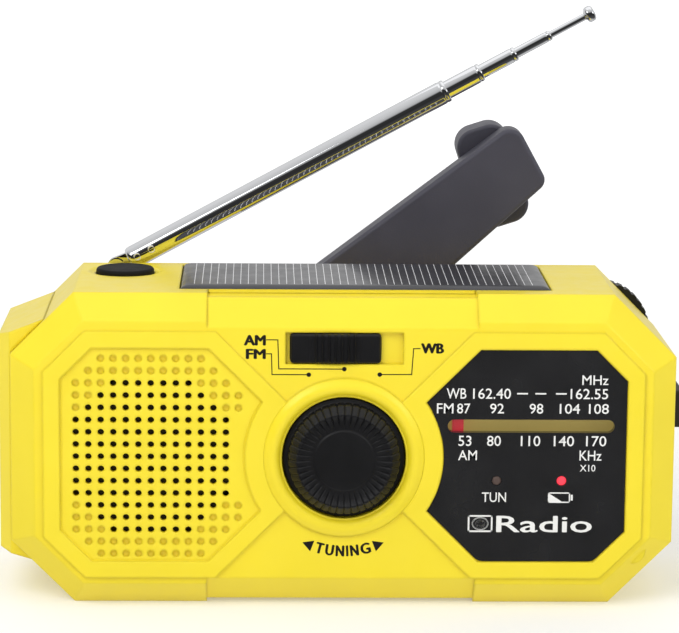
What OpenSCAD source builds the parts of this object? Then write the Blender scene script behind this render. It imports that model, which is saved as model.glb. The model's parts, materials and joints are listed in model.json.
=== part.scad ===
// Portable emergency radio: hand crank, solar panel, telescopic antenna, end lamp.
// Origin: middle of the casing's underside. X runs to the right, Y to the back, Z up. Millimetres.

/* [Casing] */
// Half of the casing's width
half_w = 80.5; // [79:0.5:82]
// Height of the casing
body_h = 76.5; // [76:0.5:78]
// Size of the casing's four 45 degree corner cuts, seen from the front
corner_cut = 15.3; // [14:0.1:17]
// Plane of the front face
front_y = -26.5; // [-28:0.5:-26]
// Depth of the bevel around the front face
front_bevel = 6.1; // [5:0.1:7]
// Plane where the rear cover meets the front shell
seam_y = 22.5; // [22:0.1:23]
// Plane of the back face
back_y = 30; // [30:0.5:31]
// Depth of the bevel around the back face
back_bevel = 6; // [5:0.1:6]
// Wall thickness of both shells
wall = 2.4; // [2:0.1:2.6]
// How far the frame bands stand out of the front face
band_h = 0.7; // [0.4:0.1:1]
// How far the middle of the casing is set in along its front edges
band_inset = 1; // [0.6:0.1:1.4]

/* [Front] */
// Distance between neighbouring holes of the speaker grille
grille_pitch = 3; // [3:0.1:3.1]
// Radius of the grille's open holes
grille_hole_r = 0.78; // [0.5:0.02:0.8]
// Radius of the grille's blind dimples
grille_dimple_r = 0.85; // [0.6:0.05:0.95]
// Radius of the tuning knob
knob_r = 13.4; // [12:0.1:14]
// Radius of the well that the knob sits in
well_r = 14.95; // [14.6:0.05:15.5]
// Radius of the raised ring around the well
ring_r = 19.5; // [18.5:0.5:20]
// Distance that the dial pointer travels
pointer_travel = 35; // [20:1:35]

/* [Top and ends] */
// Radius of the lamp button
button_r = 7.25; // [6:0.25:8]
// Radius of the volume thumbwheel
wheel_r = 13; // [12:0.1:13]
// Radius of the end lamp's lens
lens_r = 11.5; // [9:0.5:12]

/* [Crank] */
// Distance from the crank's axis to the tip of its arm
crank_reach = 88; // [80:1:90]
// Thickness of the crank arm
arm_t = 9; // [8:0.5:9]
// Angle of the crank arm above the horizontal
crank_angle = 39.8; // [35:0.1:45]
// Length of the crank's grip along the crank axis
grip_len = 12.2; // [8:0.1:12.5]

/* [Antenna] */
// Angle of the antenna above the horizontal
antenna_angle = 28.6; // [20:0.1:40]
// Length of the antenna's outer tube, from the pivot
antenna_tube = 95.5; // [90:0.5:98]
// Length that each inner section shows
antenna_step = 9.9; // [8:0.1:11]

/* [Hidden] */
$fn = 64;

yellow = "#f2dc22";
black = "#18181b";
charcoal = "#3c3b42";
copper = "#b8763a";
brass = "#c9a64b";
steel = "#c4c6ca";
chrome = "#dfe2e6";
green = "#1f6b3a";
white = "#efefe6";
red = "#d8202a";

gap = 0.15;                 // clearance around a part that sits in a recess
run = 0.06;                 // running clearance of a shaft in its bore
mid_z = body_h / 2;
diagonal = (half_w + mid_z - corner_cut) / sqrt(2);
knob_z = 37.5;
pod_mid = 37.9;             // height of the middle of the two front frames
pod_half = 30.3;            // half of the frames' height
pod_out = 72.3;             // outer edge of the frames
pod_cut = 10;               // corner cut of the frames
pod_apex = 0.6;             // where the frames' slanted edges meet, by the knob's axis
frame_w = 4.1;              // width of the frame bands
arc_r = 23.9;               // radius of the frames' edge around the knob
inner_front = front_y + wall;
ledge_y = front_y + 1.5;    // front of the ledge that the grille and window sit on
inner_top = body_h - wall;

grille_x = -46.4;
lamp_y = 2;                 // axis of the end lamp
lamp_z = 38;
cap_x = -83.7;              // outer face of the lamp housing
button_x = -54.1;
button_y = 11.7;
solar_x = [-39.7, 50.3];
solar_y = [-14.8, 21.3];
wheel_x = 66.6;
wheel_z = 59.3;
wheel_y = [24.2, 28.2];
port_z = 47.3;
jack_y = 1;
jack_z = 30;
jack_r = 1.8;
slot_x = [24.9, 65.1];      // ends of the pointer slot
slot_z = 45.4;
slot_r = 1.6;
switch_x = [-14.2, 14.1];
switch_z = [60.3, 68];
slider_x = [-13.2, 8.8];
band_x = [-33, 32];         // the part of the casing that is set in

module_t = 0.8;             // module of the tuning gear and rack
tuning_teeth = 28;
tuning_pitch_r = module_t * tuning_teeth / 2;
tuning_y = [-19.8, -17.8];

crank_x = -18;
crank_z = 48.6;
hinge_u = 10.5;             // crank axis to the arm's fold hinge
hinge_y = 31;
hub_r = 14.6;
crank_well_r = 17.8;        // radius of the well around the crank hub
hub_floor = 17.5;
arm_floor = 20.5;
grip_floor = 8;
arm_y = [hinge_y + 1, hinge_y + 1 + arm_t];
grip_u = 75.5;
grip_size = [14, 26.6];
grip_turn = -21.8;          // how far the grip is turned on its pin
pocket_size = [20.3, 30.3]; // pocket for the stowed grip
grip_y = [arm_y[1] + 0.3, arm_y[1] + 0.3 + grip_len];

module_g = 0.6;             // module of the generator's gears
crank_teeth = 48;
pinion_teeth = 14;
middle_teeth = 45;
rotor_teeth = 12;
middle_turn = 225;          // direction from the crank axis to the middle gear
rotor_turn = 200;           // direction from the middle gear to the rotor
middle_d = module_g * (crank_teeth + pinion_teeth) / 2;
rotor_d = module_g * (middle_teeth + rotor_teeth) / 2;
middle_x = crank_x + middle_d * cos(middle_turn);
middle_z = crank_z + middle_d * sin(middle_turn);
rotor_x = middle_x + rotor_d * cos(rotor_turn);
rotor_z = middle_z + rotor_d * sin(rotor_turn);
plate_y = [4, 6];
plate_posts = [[-60, 59.5], [-60, 18], [-16, 18.5]];

bay_x = [-8, 64];
bay_z = [6.8, 26];
bay_y = -1;                 // floor of the battery bay
cell_r = 9.25;
cell_y = 11;
cell_z = 16.4;
door_y = 28.4;

ant_x = -57;
ant_y = 27.7;
ant_z = 75;
notch_y = 24.4;             // front wall of the antenna's groove
notch_z = 70.5;             // floor of the antenna's groove
tube_r = [3, 2.4, 1.9, 1.4, 0.95];
tube_wall = 0.35;

screws = [[-68, 14], [-68, 60], [70.5, 14], [71, 38.4]];

// ---------- helpers ----------

// An X-Z outline, extruded from y0 to y1
module slab(y0, y1)
    translate([0, y1, 0]) rotate([90, 0, 0]) linear_extrude(y1 - y0) children();

// A Y-Z outline, extruded from x0 to x1
module along_x(x0, x1)
    translate([x0, 0, 0]) rotate([90, 0, 90]) linear_extrude(x1 - x0) children();

// A radius-height outline, turned about an axis along +Y
module turned(x, y, z)
    translate([x, y, z]) rotate([-90, 0, 0]) rotate_extrude() children();

// A round bar along Y
module bar_y(x, z, r, y0, y1)
    translate([x, y0, z]) rotate([-90, 0, 0]) cylinder(r = r, h = y1 - y0);

// A round bar along X
module bar_x(y, z, r, x0, x1)
    translate([x0, y, z]) rotate([0, 90, 0]) cylinder(r = r, h = x1 - x0);

module block(x, y, z)
    translate([x[0], y[0], z[0]]) cube([x[1] - x[0], y[1] - y[0], z[1] - z[0]]);

// A rectangle with true round corners
module round_rect(w, h, r) {
    square([w - 2 * r, h], center = true);
    square([w, h - 2 * r], center = true);
    for (sx = [-1, 1], sy = [-1, 1])
        translate([sx * (w / 2 - r), sy * (h / 2 - r)]) circle(r);
}

// One of the four prisms whose common part is the bevelled, corner-cut body
module prism(turn, half, y0, y1, front, back)
    translate([0, 0, mid_z]) rotate([0, turn, 0])
        linear_extrude(3 * half_w, center = true) polygon([
            [front - half, y0], [half - front, y0], [half, y0 + front], [half, y1 - back],
            [half - back, y1], [back - half, y1], [-half, y1 - back], [-half, y0 + front]
        ]);

// The casing's outer form, or with a positive inset its hollow
module body(y0, y1, front, back, inset = 0)
    intersection() {
        prism(0, half_w - inset, y0, y1, front, back);
        prism(90, mid_z - inset, y0, y1, front, back);
        prism(45, diagonal - inset, y0, y1, front, back);
        prism(-45, diagonal - inset, y0, y1, front, back);
    }

// Outline of a front frame: side is 1 for the dial and -1 for the speaker
module pod(side, inset) {
    half = pod_half - inset;
    apex = pod_apex + inset * sqrt(2);
    out = pod_out - inset;
    cut = pod_cut - inset * (2 - sqrt(2));
    polygon([for (p = [
        [apex, 0], [apex + half, half], [out - cut, half], [out, half - cut],
        [out, cut - half], [out - cut, -half], [apex + half, -half]
    ]) [side * p[0], pod_mid + p[1]]]);
}

// Outline of the speaker grille or the dial window
module panel(side, inset)
    difference() {
        pod(side, frame_w + inset);
        translate([0, knob_z]) circle(arc_r + inset);
    }

// Involute gear outline. phase is the direction of the middle of one tooth
function roll(a) = tan(a) * 180 / PI - a;
function flank(r, base, turn) = turn - roll(r > base ? acos(base / r) : 0);
function gear_points(m, teeth, phase, slack, steps = 4) =
    let (pitch = m * teeth / 2, base = pitch * cos(20), root = pitch - m, tip = pitch + 0.8 * m,
         turn = 90 / teeth - slack / pitch * 90 / PI + roll(20), low = max(root, base))
    [for (i = [0 : teeth - 1]) let (c = phase + 360 * i / teeth) each concat(
        [root * [cos(c - flank(low, base, turn)), sin(c - flank(low, base, turn))]],
        [for (k = [0 : steps]) let (r = low + (tip - low) * k / steps, a = c - flank(r, base, turn))
            r * [cos(a), sin(a)]],
        [for (k = [steps : -1 : 0]) let (r = low + (tip - low) * k / steps, a = c + flank(r, base, turn))
            r * [cos(a), sin(a)]],
        [root * [cos(c + flank(low, base, turn)), sin(c + flank(low, base, turn))]]
    )];
module gear(x, z, m, teeth, phase, y0, y1)
    slab(y0, y1) translate([x, z]) polygon(gear_points(m, teeth, phase, 0.16));

// Moves children from crank axes (u along the arm, v across it) to the casing
module on_crank()
    translate([crank_x, 0, crank_z]) rotate([0, -crank_angle, 0]) children();

// Moves children from antenna axes (length along X) to the casing
module on_antenna()
    translate([ant_x, ant_y, ant_z]) rotate([0, -antenna_angle, 0]) children();

// ---------- casing ----------

grille_open = [0, 0, 7, 9, 11, 13, 13, 13, 13]; // open holes in each row, edge to middle
grille_first = [3, 2, 1, 1, 1, 1, 1, 1, 1];     // first column that has a hole or dimple
grille_last = [11, 12, 13, 14, 14, 13, 13, 13, 13];

module at_grille(col, row)
    translate([grille_x + (col - 7) * grille_pitch, knob_z + (8 - row) * grille_pitch]) children();

// Draws children at each hole (open = true) or each blind dimple of the grille
module grille_field(open)
    for (row = [0 : 16]) {
        k = min(row, 16 - row);
        reach = (grille_open[k] - 1) / 2;
        for (col = [grille_first[k] : grille_last[k]])
            if ((abs(col - 7) <= reach) == open) at_grille(col, row) children();
    }

module inset_cut()
    along_x(band_x[0], band_x[1]) {
        polygon([
            [front_y - 1, body_h - front_bevel - 1.5], [front_y, body_h - front_bevel - 1.414 * band_inset],
            [front_y + front_bevel - 0.414 * band_inset, body_h - band_inset],
            [solar_y[0] - 0.5, body_h - band_inset], [solar_y[0] - 0.5, body_h + 1], [front_y - 1, body_h + 1]
        ]);
        polygon([
            [front_y - 1, front_bevel + 1.5], [front_y, front_bevel + 1.414 * band_inset],
            [front_y + front_bevel - 0.414 * band_inset, band_inset], [-12, band_inset], [-12, -1],
            [front_y - 1, -1]
        ]);
    }

module boss(p)
    difference() {
        bar_y(p[0], p[1], 3.2, inner_front - 0.5, seam_y);
        bar_y(p[0], p[1], 1.25, 8, seam_y + 1);
    }

module front_shell() color(yellow)
    difference() {
        union() {
            difference() {
                body(front_y, seam_y, front_bevel, 0);
                body(inner_front, seam_y + 1, front_bevel - 0.586 * wall, 0, wall);
                inset_cut();
            }
            slab(front_y - band_h, front_y + 0.5) difference() {
                union() {
                    pod(-1, 0);
                    pod(1, 0);
                    translate([0, knob_z]) circle(ring_r);
                }
                panel(-1, 0);
                panel(1, 0);
            }
            bar_y(0, knob_z, well_r + 2.2, front_y + 0.5, -20.2);
            for (p = screws) boss(p);
        }
        for (side = [-1, 1]) {
            slab(front_y - 2, ledge_y) panel(side, 0);
            slab(front_y, inner_front + 1) panel(side, 1.2);
        }
        bar_y(0, knob_z, well_r, front_y - 2, -22);
        bar_y(0, knob_z, 3 + run, -24, -19);
        block(switch_x, [front_y - 1, front_y + 1.4], switch_z);
        block([-7.5, 7.5], [front_y, inner_front + 1], [63, 65.3]);
        block([solar_x[0] - 0.2, solar_x[1] + 0.2], [solar_y[0] - 0.2, solar_y[1] + 0.2],
              [74.9, body_h + 1]);
        translate([button_x, button_y, inner_top - 1]) cylinder(r = button_r + gap, h = 10);
        translate([button_x, button_y, body_h - 0.5]) cylinder(r1 = button_r + 1, r2 = button_r + 2.6, h = 0.8);
        bar_x(lamp_y, lamp_z, lens_r + 1.1, -half_w - 1, -half_w + 5);
        block([half_w - 5, half_w + 1], [-13.2, -4.4], [port_z - 2.2, port_z + 2.2]);
        block([half_w - 5, half_w + 1], [-1.8, 11.8], [port_z - 3.2, port_z + 3.2]);
        bar_x(jack_y, jack_z, 3.6, half_w - 5, half_w + 1);
    }

// Outline of the recess that takes the folded crank arm
module arm_recess(grow) {
    tip = crank_x + crank_reach - 2 * hinge_u + 1.3 + grow;
    polygon([
        [crank_x, crank_z - 14 - grow], [tip, crank_z - 10.2 - grow],
        [tip, crank_z + 10.2 + grow], [crank_x, crank_z + 14 + grow]
    ]);
}

module grip_recess(grow)
    translate([crank_x + grip_u - 2 * hinge_u, crank_z])
        square([pocket_size[0] + 2 * grow, pocket_size[1] + 2 * grow], center = true);

module rear_cover() color(yellow)
    difference() {
        union() {
            difference() {
                body(seam_y, back_y, 0, back_bevel);
                body(seam_y - 1, back_y - wall, 0, back_bevel - 0.586 * wall, wall);
            }
            intersection() {
                body(seam_y, back_y, 0, back_bevel);
                block([-half_w, half_w], [seam_y, back_y], [notch_z - wall, body_h]);
            }
            bar_y(crank_x, crank_z, crank_well_r + 1.8, hub_floor - 1.8, back_y - 1);
            slab(arm_floor - 1.8, back_y - 1) arm_recess(1.8);
            slab(grip_floor - 1.8, back_y - 1) grip_recess(1.8);
            block([bay_x[0] - 1.4, bay_x[1] + 1.4], [bay_y - 1.4, back_y - 1], [bay_z[0] - 1.4, bay_z[1] + 1.4]);
            for (p = screws) bar_y(p[0], p[1], 3.6, seam_y, back_y - 1);
        }
        block([-half_w - 1, half_w + 1], [notch_y, back_y + 1], [notch_z, body_h + 1]);
        bar_y(crank_x, crank_z, crank_well_r, hub_floor, back_y + 1);
        slab(arm_floor, back_y + 1) arm_recess(0);
        slab(grip_floor, back_y + 1) grip_recess(0);
        bar_y(crank_x, crank_z, 3 + run, hub_floor - 5, hub_floor + 1);
        block(bay_x, [bay_y, back_y + 1], bay_z);
        block([bay_x[0] - 1.2, bay_x[1] + 1.2], [door_y - 0.1, back_y + 1], [bay_z[0] + 0.2, bay_z[1] + 1.2]);
        bar_y(wheel_x, wheel_z, wheel_r + 0.5, wheel_y[0] - 0.3, wheel_y[1] + 0.3);
        block([wheel_x - 7, wheel_x + 7], [seam_y - 1, wheel_y[0]], [wheel_z - 7, wheel_z + 7]);
        translate([ant_x, ant_y, notch_z - 5]) cylinder(r = 1.5 + run, h = 10);
        translate([ant_x, ant_y, notch_z - 5]) cylinder(r = 3.4, h = 5 - wall + 0.2);
        for (p = screws) {
            bar_y(p[0], p[1], 1.6, seam_y - 1, back_y);
            bar_y(p[0], p[1], 3, back_y - 2, back_y + 1);
        }
    }

module lamp_housing() color(yellow)
    difference() {
        intersection() {
            slab(-17.5, seam_y - 0.5) polygon([
                [-71.4, 69.8], [cap_x, 65], [cap_x, 12], [-74.6, 9.3], [-70, 20], [-70, 60]
            ]);
            linear_extrude(body_h) polygon([
                [-60, -17.5], [-half_w - 0.3, -17.5], [cap_x, -13.5], [cap_x, seam_y], [-60, seam_y]
            ]);
        }
        body(front_y - 5, back_y + 5, 0, 0, -0.05);
        bar_x(lamp_y, lamp_z, lens_r + gap, cap_x - 1, -70);
    }

module casing_screws() color(steel)
    for (p = screws) {
        difference() {
            bar_y(p[0], p[1], 2.8, back_y - 1.95, back_y - 0.2);
            block([p[0] - 2, p[0] + 2], [back_y - 1, back_y], [p[1] - 0.4, p[1] + 0.4]);
            block([p[0] - 0.4, p[0] + 0.4], [back_y - 1, back_y], [p[1] - 2, p[1] + 2]);
        }
        bar_y(p[0], p[1], 1.2, 10, back_y - 1.95);
    }

// ---------- speaker ----------

module speaker_grille() color(yellow)
    difference() {
        slab(front_y, ledge_y) difference() {
            panel(-1, 0.05);
            grille_field(true) circle(grille_hole_r, $fn = 16);
        }
        slab(front_y - 0.5, front_y + 0.8) grille_field(false) circle(grille_dimple_r, $fn = 16);
    }

module grille_cloth() color(black)
    bar_y(grille_x, knob_z, 20, inner_front - 0.8, inner_front - 0.4);

module speaker_frame() color(steel)
    turned(grille_x, inner_front - 0.35, knob_z) polygon([
        [18, 0], [18, 1.2], [16.6, 1.2], [11, 4.2], [11, 5], [3, 5], [3, 4.2], [10.2, 4.2], [15.8, 1.1], [15.8, 0]
    ]);

module speaker_cone() color(black)
    turned(grille_x, inner_front, knob_z) polygon([
        [15.6, 0], [15.6, 0.5], [14, 1], [5, 3.6], [0, 2], [0, 1.4], [5, 3], [13.6, 0.5], [14, 0]
    ]);

module speaker_magnet() color(steel)
    bar_y(grille_x, knob_z, 10.5, inner_front + 4.7, -12);

// ---------- dial and tuning ----------

module slot_outline(grow) {
    translate([slot_x[0] + slot_r, slot_z]) circle(slot_r + grow);
    translate([slot_x[1] - slot_r, slot_z]) circle(slot_r + grow);
    translate([slot_x[0] + slot_r, slot_z - slot_r - grow])
        square([slot_x[1] - slot_x[0] - 2 * slot_r, 2 * (slot_r + grow)]);
}

lamp_x = [36.9, 52.6];      // tuning and charge lamps on the dial
lamp_row = 31.9;
led_r = 1.1;

module dial_window() color(black)
    slab(front_y - 0.4, ledge_y) difference() {
        panel(1, 0.1);
        slot_outline(0);
        for (x = lamp_x) translate([x, lamp_row]) circle(led_r + 0.05);
    }

module dial_backing() color(brass)
    block([slot_x[0] - 1, slot_x[1] + 1.5], [-22.3, -21.7], [slot_z - 3, slot_z + 3]);

module led(x)
    bar_y(x, lamp_row, led_r, front_y - 0.3, inner_front + 1);

module tuning_lamp() color("#5a4a46") led(lamp_x[0]);

module charge_lamp() color(red) led(lamp_x[1]);

module dial_pointer() color(red) {
    x = slot_x[0] + 2.6;
    m = module_t;
    pitch_z = knob_z + tuning_pitch_r;
    step = PI * m;
    lean = tan(20);
    half = step / 4 - 0.08;
    left = -ceil((pointer_travel + 4) / step) + 0.5;
    union() {
        block([x - 1.35, x + 1.35], [-24.8, -22.6], [slot_z - 2.2, pitch_z + 2.8]);
        block([x - 1.35, x + 1.35], [-22.7, tuning_y[1]], [pitch_z + m, pitch_z + 2.8]);
        slab(tuning_y[0], tuning_y[1]) union() {
            translate([step * (left - 0.5), pitch_z + m])
                square([x + 1.35 - step * (left - 0.5), 2.8 - m]);
            for (i = [left : 1 : 1.5])
                translate([step * i, pitch_z]) polygon([
                    [-half - lean * m, m + 0.01], [-half + lean * 0.8 * m, -0.8 * m],
                    [half - lean * 0.8 * m, -0.8 * m], [half + lean * m, m + 0.01]
                ]);
        }
    }
}

module tuning_knob() color(black)
    difference() {
        turned(0, -22.3, knob_z) mirror([0, 1]) polygon([
            [0, 0], [knob_r, 0], [knob_r, 7.7], [knob_r - 1.4, 8.9], [8.1, 7.7], [7.5, 8.2], [0, 8.2]
        ]);
        bar_y(0, knob_z, 3, -28, -22);
    }

module tuning_gear() color(steel) {
    bar_y(0, knob_z, 2.98, -27.9, -12);
    gear(0, knob_z, module_t, tuning_teeth, 90, tuning_y[0], tuning_y[1]);
}

module tuning_capacitor() color(white)
    difference() {
        block([-10, 10], [-17.4, -6], [knob_z - 10, knob_z + 10]);
        bar_y(0, knob_z, 3 + run, -18, -11.5);
    }

module band_switch() color(steel)
    difference() {
        block([-11, 11], [inner_front + 0.4, inner_front + 5], [60.6, 67.8]);
        block([-7.5, 7.5], [inner_front, inner_front + 3.4], [63, 65.3]);
    }

module band_slider() color(black)
    union() {
        difference() {
            block(slider_x, [front_y - 1.6, front_y + 1.3], [switch_z[0] + 0.2, switch_z[1] - 0.2]);
            for (i = [-3 : 3])
            for (i = [-3 : 3])
                bar_z([(slider_x[0] + slider_x[1]) / 2 + i * 1.5, front_y - 1.75], 0.5);
        }
        block([-5.5, -2.5], [front_y + 1, inner_front + 3.2], [63.2, 65.1]);
    }

module bar_z(p, r)
    translate([p[0], p[1], switch_z[0] - 1]) cylinder(r = r, h = 10);

// ---------- boards and power ----------

module main_board() color(green)
    difference() {
        block([-24, 64], [-6, -4.4], [28.5, 65.5]);
        for (x = [-20, 60], z = [32, 62]) bar_y(x, z, 1.6, -7, -4);
    }

module ferrite_rod() color("#4a4644")
    bar_x(-11, 69, 4, -20, 45);

module ferrite_coil() color(copper)
    difference() {
        bar_x(-11, 69, 5, 2, 14);
        bar_x(-11, 69, 4.02, 1, 15);
    }

module battery_cell() color("#2f6fb3") {
    bar_x(cell_y, cell_z, cell_r, -3.5, 61.5);
    bar_x(cell_y, cell_z, 2.8, 61.5, 62.6);
}

module battery_contacts() color(steel) {
    block([bay_x[0] + 0.05, bay_x[0] + 0.55], [cell_y - 5, cell_y + 5], [cell_z - 5, cell_z + 5]);
    block([bay_x[1] - 0.55, bay_x[1] - 0.05], [cell_y - 5, cell_y + 5], [cell_z - 5, cell_z + 5]);
    for (i = [0 : 3])
        translate([bay_x[0] + 0.55 + i * 0.95, cell_y, cell_z]) rotate([0, 90, 0]) difference() {
            cylinder(r = 4.4 - 0.4 * i, h = 0.95);
            translate([0, 0, -1]) cylinder(r = 3.5 - 0.4 * i, h = 3);
        }
}

module battery_door() color(yellow)
    difference() {
        block([bay_x[0] - 1.05, bay_x[1] + 1.05], [door_y, back_y], [bay_z[0] + 0.35, bay_z[1] + 1.05]);
        for (i = [0 : 4]) block([22, 34], [back_y - 0.6, back_y + 1], [14 + 2 * i, 15 + 2 * i]);
    }

module solar_cover() color("#26262c")
    difference() {
        intersection() {
            along_x(solar_x[0], solar_x[1]) polygon([
                [solar_y[0], 74.9], [solar_y[0], 76.4], [solar_y[0] + 1.6, 77.3],
                [solar_y[1] - 1.6, 77.3], [solar_y[1], 76.4], [solar_y[1], 74.9]
            ]);
            slab(solar_y[0], solar_y[1]) polygon([
                [solar_x[0], 74.9], [solar_x[0], 76.4], [solar_x[0] + 1.6, 77.3],
                [solar_x[1] - 1.6, 77.3], [solar_x[1], 76.4], [solar_x[1], 74.9]
            ]);
        }
        block([solar_x[0] + 3, solar_x[1] - 3], [solar_y[0] + 2.5, solar_y[1] - 2], [74, 75.5]);
    }

module solar_cell() color("#20283a")
    block([solar_x[0] + 3.2, solar_x[1] - 3.2], [solar_y[0] + 2.7, solar_y[1] - 2.2], [74.9, 75.45]);

// ---------- end lamp ----------

module lamp_reflector() color(chrome)
    translate([-82.2, lamp_y, lamp_z]) rotate([0, 90, 0]) rotate_extrude() polygon([
        [lens_r - 0.1, 0], [lens_r - 0.1, 1], [7.5, 10.2], [0, 10.2], [0, 9.4], [6.9, 9.4], [lens_r - 1, 0]
    ]);

module lamp_lens() color("#dfeaf2")
    bar_x(lamp_y, lamp_z, lens_r, cap_x + 0.2, -82.2);

module lamp_board() color(green) {
    bar_x(lamp_y, lamp_z, 9, -72, -70.8);
    for (a = [90, 210, 330])
        color(white) bar_x(lamp_y + 3.6 * cos(a), lamp_z + 3.6 * sin(a), 2.2, -70.8, -69.6);
}

module lamp_button() color(black)
    translate([button_x, button_y, 0]) {
        translate([0, 0, 72.6]) cylinder(r = button_r, h = 4.8);
        translate([0, 0, 72.4]) cylinder(r = button_r + 1.2, h = 1.5);
        translate([0, 0, 71.2]) cylinder(r = 1.5, h = 2);
    }

module button_switch() color(steel)
    union() {
        block([button_x - 3, button_x + 3], [button_y - 3, button_y + 3], [65, 70]);
        block([button_x - 8, button_x + 8], [button_y - 6, button_y + 6], [63.4, 65]);
    }

// ---------- sockets and volume ----------

module headphone_jack() color(black)
    difference() {
        union() {
            bar_x(jack_y, jack_z, 3.5, 66, half_w + 0.6);
            block([66, half_w - wall - 0.1], [jack_y - 4.5, jack_y + 4.5], [jack_z - 4.5, jack_z + 4.5]);
        }
        bar_x(jack_y, jack_z, jack_r, half_w - 12, half_w + 2);
    }

module usb_socket() color(steel)
    difference() {
        block([66, half_w - 0.3], [-1.6, 11.6], [port_z - 3, port_z + 3]);
        block([67, half_w + 1], [-1.1, 11.1], [port_z + 0.3, port_z + 2.5]);
        block([67, half_w + 1], [-1.1, 11.1], [port_z - 2.5, port_z - 1.7]);
    }

module charge_socket() color(steel)
    difference() {
        block([72, half_w - 0.3], [-12.8, -4.8], [port_z - 1.6, port_z + 1.6]);
        block([73, half_w + 1], [-12.3, -5.3], [port_z + 0.2, port_z + 1.1]);
    }

module port_cover() color(black)
    difference() {
        block([half_w + 0.1, half_w + 2.8], [-15.5, 14], [port_z - 4.6, port_z + 4.6]);
        block([half_w + 1.6, half_w + 3], [-15, -13.5], [port_z - 3, port_z + 3]);
    }

module volume_pot() color(steel)
    difference() {
        block([wheel_x - 6, wheel_x + 6], [16.5, 23.4], [wheel_z - 6, wheel_z + 6]);
        bar_y(wheel_x, wheel_z, 2 + run, 18, 24);
    }

module volume_wheel() color(black)
    union() {
        difference() {
            bar_y(wheel_x, wheel_z, wheel_r, wheel_y[0], wheel_y[1]);
            for (i = [0 : 35])
                bar_y(wheel_x + (wheel_r + 0.25) * cos(10 * i), wheel_z + (wheel_r + 0.25) * sin(10 * i), 0.6,
                      wheel_y[0] - 1, wheel_y[1] + 1);
        }
        bar_y(wheel_x, wheel_z, 2, 18.5, wheel_y[0] + 1);
    }

// ---------- crank and generator ----------

module crank_hub() color(charcoal)
    union() {
        bar_y(crank_x, crank_z, hub_r, hub_floor + 0.3, arm_floor + 0.3);
        bar_y(crank_x, crank_z, 3, plate_y[0], hub_floor + 0.4);
        on_crank() for (s = [-1, 1])
            difference() {
                union() {
                    block([hinge_u - 2.8, hinge_u + 2.4], [arm_floor, hinge_y], s > 0 ? [5.9, 8.3] : [-8.3, -5.9]);
                    translate([hinge_u, hinge_y, s * 7.1]) cylinder(r = 2.8, h = 2.4, center = true);
                }
                translate([hinge_u, hinge_y, 0]) cylinder(r = 1.5, h = 30, center = true);
            }
    }

module crank_hinge_pin() color(steel)
    on_crank() translate([hinge_u, hinge_y, 0]) cylinder(r = 1.49, h = 16.6, center = true);

module crank_arm() color(charcoal)
    on_crank() difference() {
        union() {
            slab(arm_y[0], arm_y[1]) {
                polygon([
                    [hinge_u + 3.3, -12.2], [crank_reach - 4.77, -9.05], [crank_reach - 1.95, -6.61],
                    [crank_reach + 0.13, 4.21], [crank_reach - 3.61, 8.95], [hinge_u + 3.3, 12.2]
                ]);
                translate([crank_reach - 4.9, -6.05]) circle(3);
                translate([crank_reach - 3.8, 4.95]) circle(4);
            }
            block([hinge_u, hinge_u + 5], [hinge_y - 0.5, arm_y[0] + 4], [-5.6, 5.6]);
            translate([hinge_u, hinge_y, 0]) cylinder(r = 2.8, h = 11.2, center = true);
        }
        translate([hinge_u, hinge_y, 0]) cylinder(r = 1.5 + run, h = 30, center = true);
        bar_y(grip_u, 0, 2.5, arm_y[0] + 2, arm_y[1] + 1);
        slab(arm_y[0] + 3, arm_y[1] + 1) for (k = [0 : 2])
            translate([hinge_u + 12 + 15 * k, -6.5]) square([13, 13]);
    }

module grip_pin() color(steel)
    on_crank() {
        bar_y(grip_u, 0, 2.5, arm_y[0] + 2, grip_y[1] - 1.8);
        bar_y(grip_u, 0, 4, grip_y[1] - 1.8, grip_y[1] - 0.4);
    }

module crank_grip() color(charcoal)
    on_crank() difference() {
        slab(grip_y[0], grip_y[1]) translate([grip_u, 0]) rotate(grip_turn) round_rect(grip_size[0], grip_size[1], 5);
        bar_y(grip_u, 0, 2.5 + run, grip_y[0] - 1, grip_y[1] + 1);
        bar_y(grip_u, 0, 4.2, grip_y[1] - 1.9, grip_y[1] + 1);
    }

module crank_gear() color(white)
    difference() {
        gear(crank_x, crank_z, module_g, crank_teeth, middle_turn, 11.5, 14.5);
        bar_y(crank_x, crank_z, 3.01, 10, 16);
    }

module middle_gear() color(white)
    difference() {
        union() {
            gear(middle_x, middle_z, module_g, pinion_teeth, middle_turn + 180 + 180 / pinion_teeth, 9.9, 14.9);
            gear(middle_x, middle_z, module_g, middle_teeth, rotor_turn, 7.5, 10);
        }
        bar_y(middle_x, middle_z, 1.5 + run, 7, 16);
    }

module gear_axle() color(steel)
    bar_y(middle_x, middle_z, 1.5, plate_y[0], 15.3);

module generator_pinion() color(brass) {
    gear(rotor_x, rotor_z, module_g, rotor_teeth, rotor_turn + 180 + 180 / rotor_teeth, 7.3, 10.3);
    bar_y(rotor_x, rotor_z, 1, 1, 7.4);
}

module generator() color(steel)
    difference() {
        bar_y(rotor_x, rotor_z, 12, -5, 6.4);
        bar_y(rotor_x, rotor_z, 1 + run, 0.5, 7);
    }

module gear_plate() color(black)
    difference() {
        union() {
            slab(plate_y[0], plate_y[1]) polygon([[-64, 14], [-11, 14], [-11, 29], [0, 29], [0, 62.5], [-64, 62.5]]);
            for (p = plate_posts) bar_y(p[0], p[1], 2.5, plate_y[0], back_y - wall);
        }
        bar_y(rotor_x, rotor_z, 12.05, 3, 7);
        bar_y(middle_x, middle_z, 1.5, 3, 7);
        bar_y(crank_x, crank_z, 3 + run, 3, 7);
    }

// ---------- antenna ----------

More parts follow.
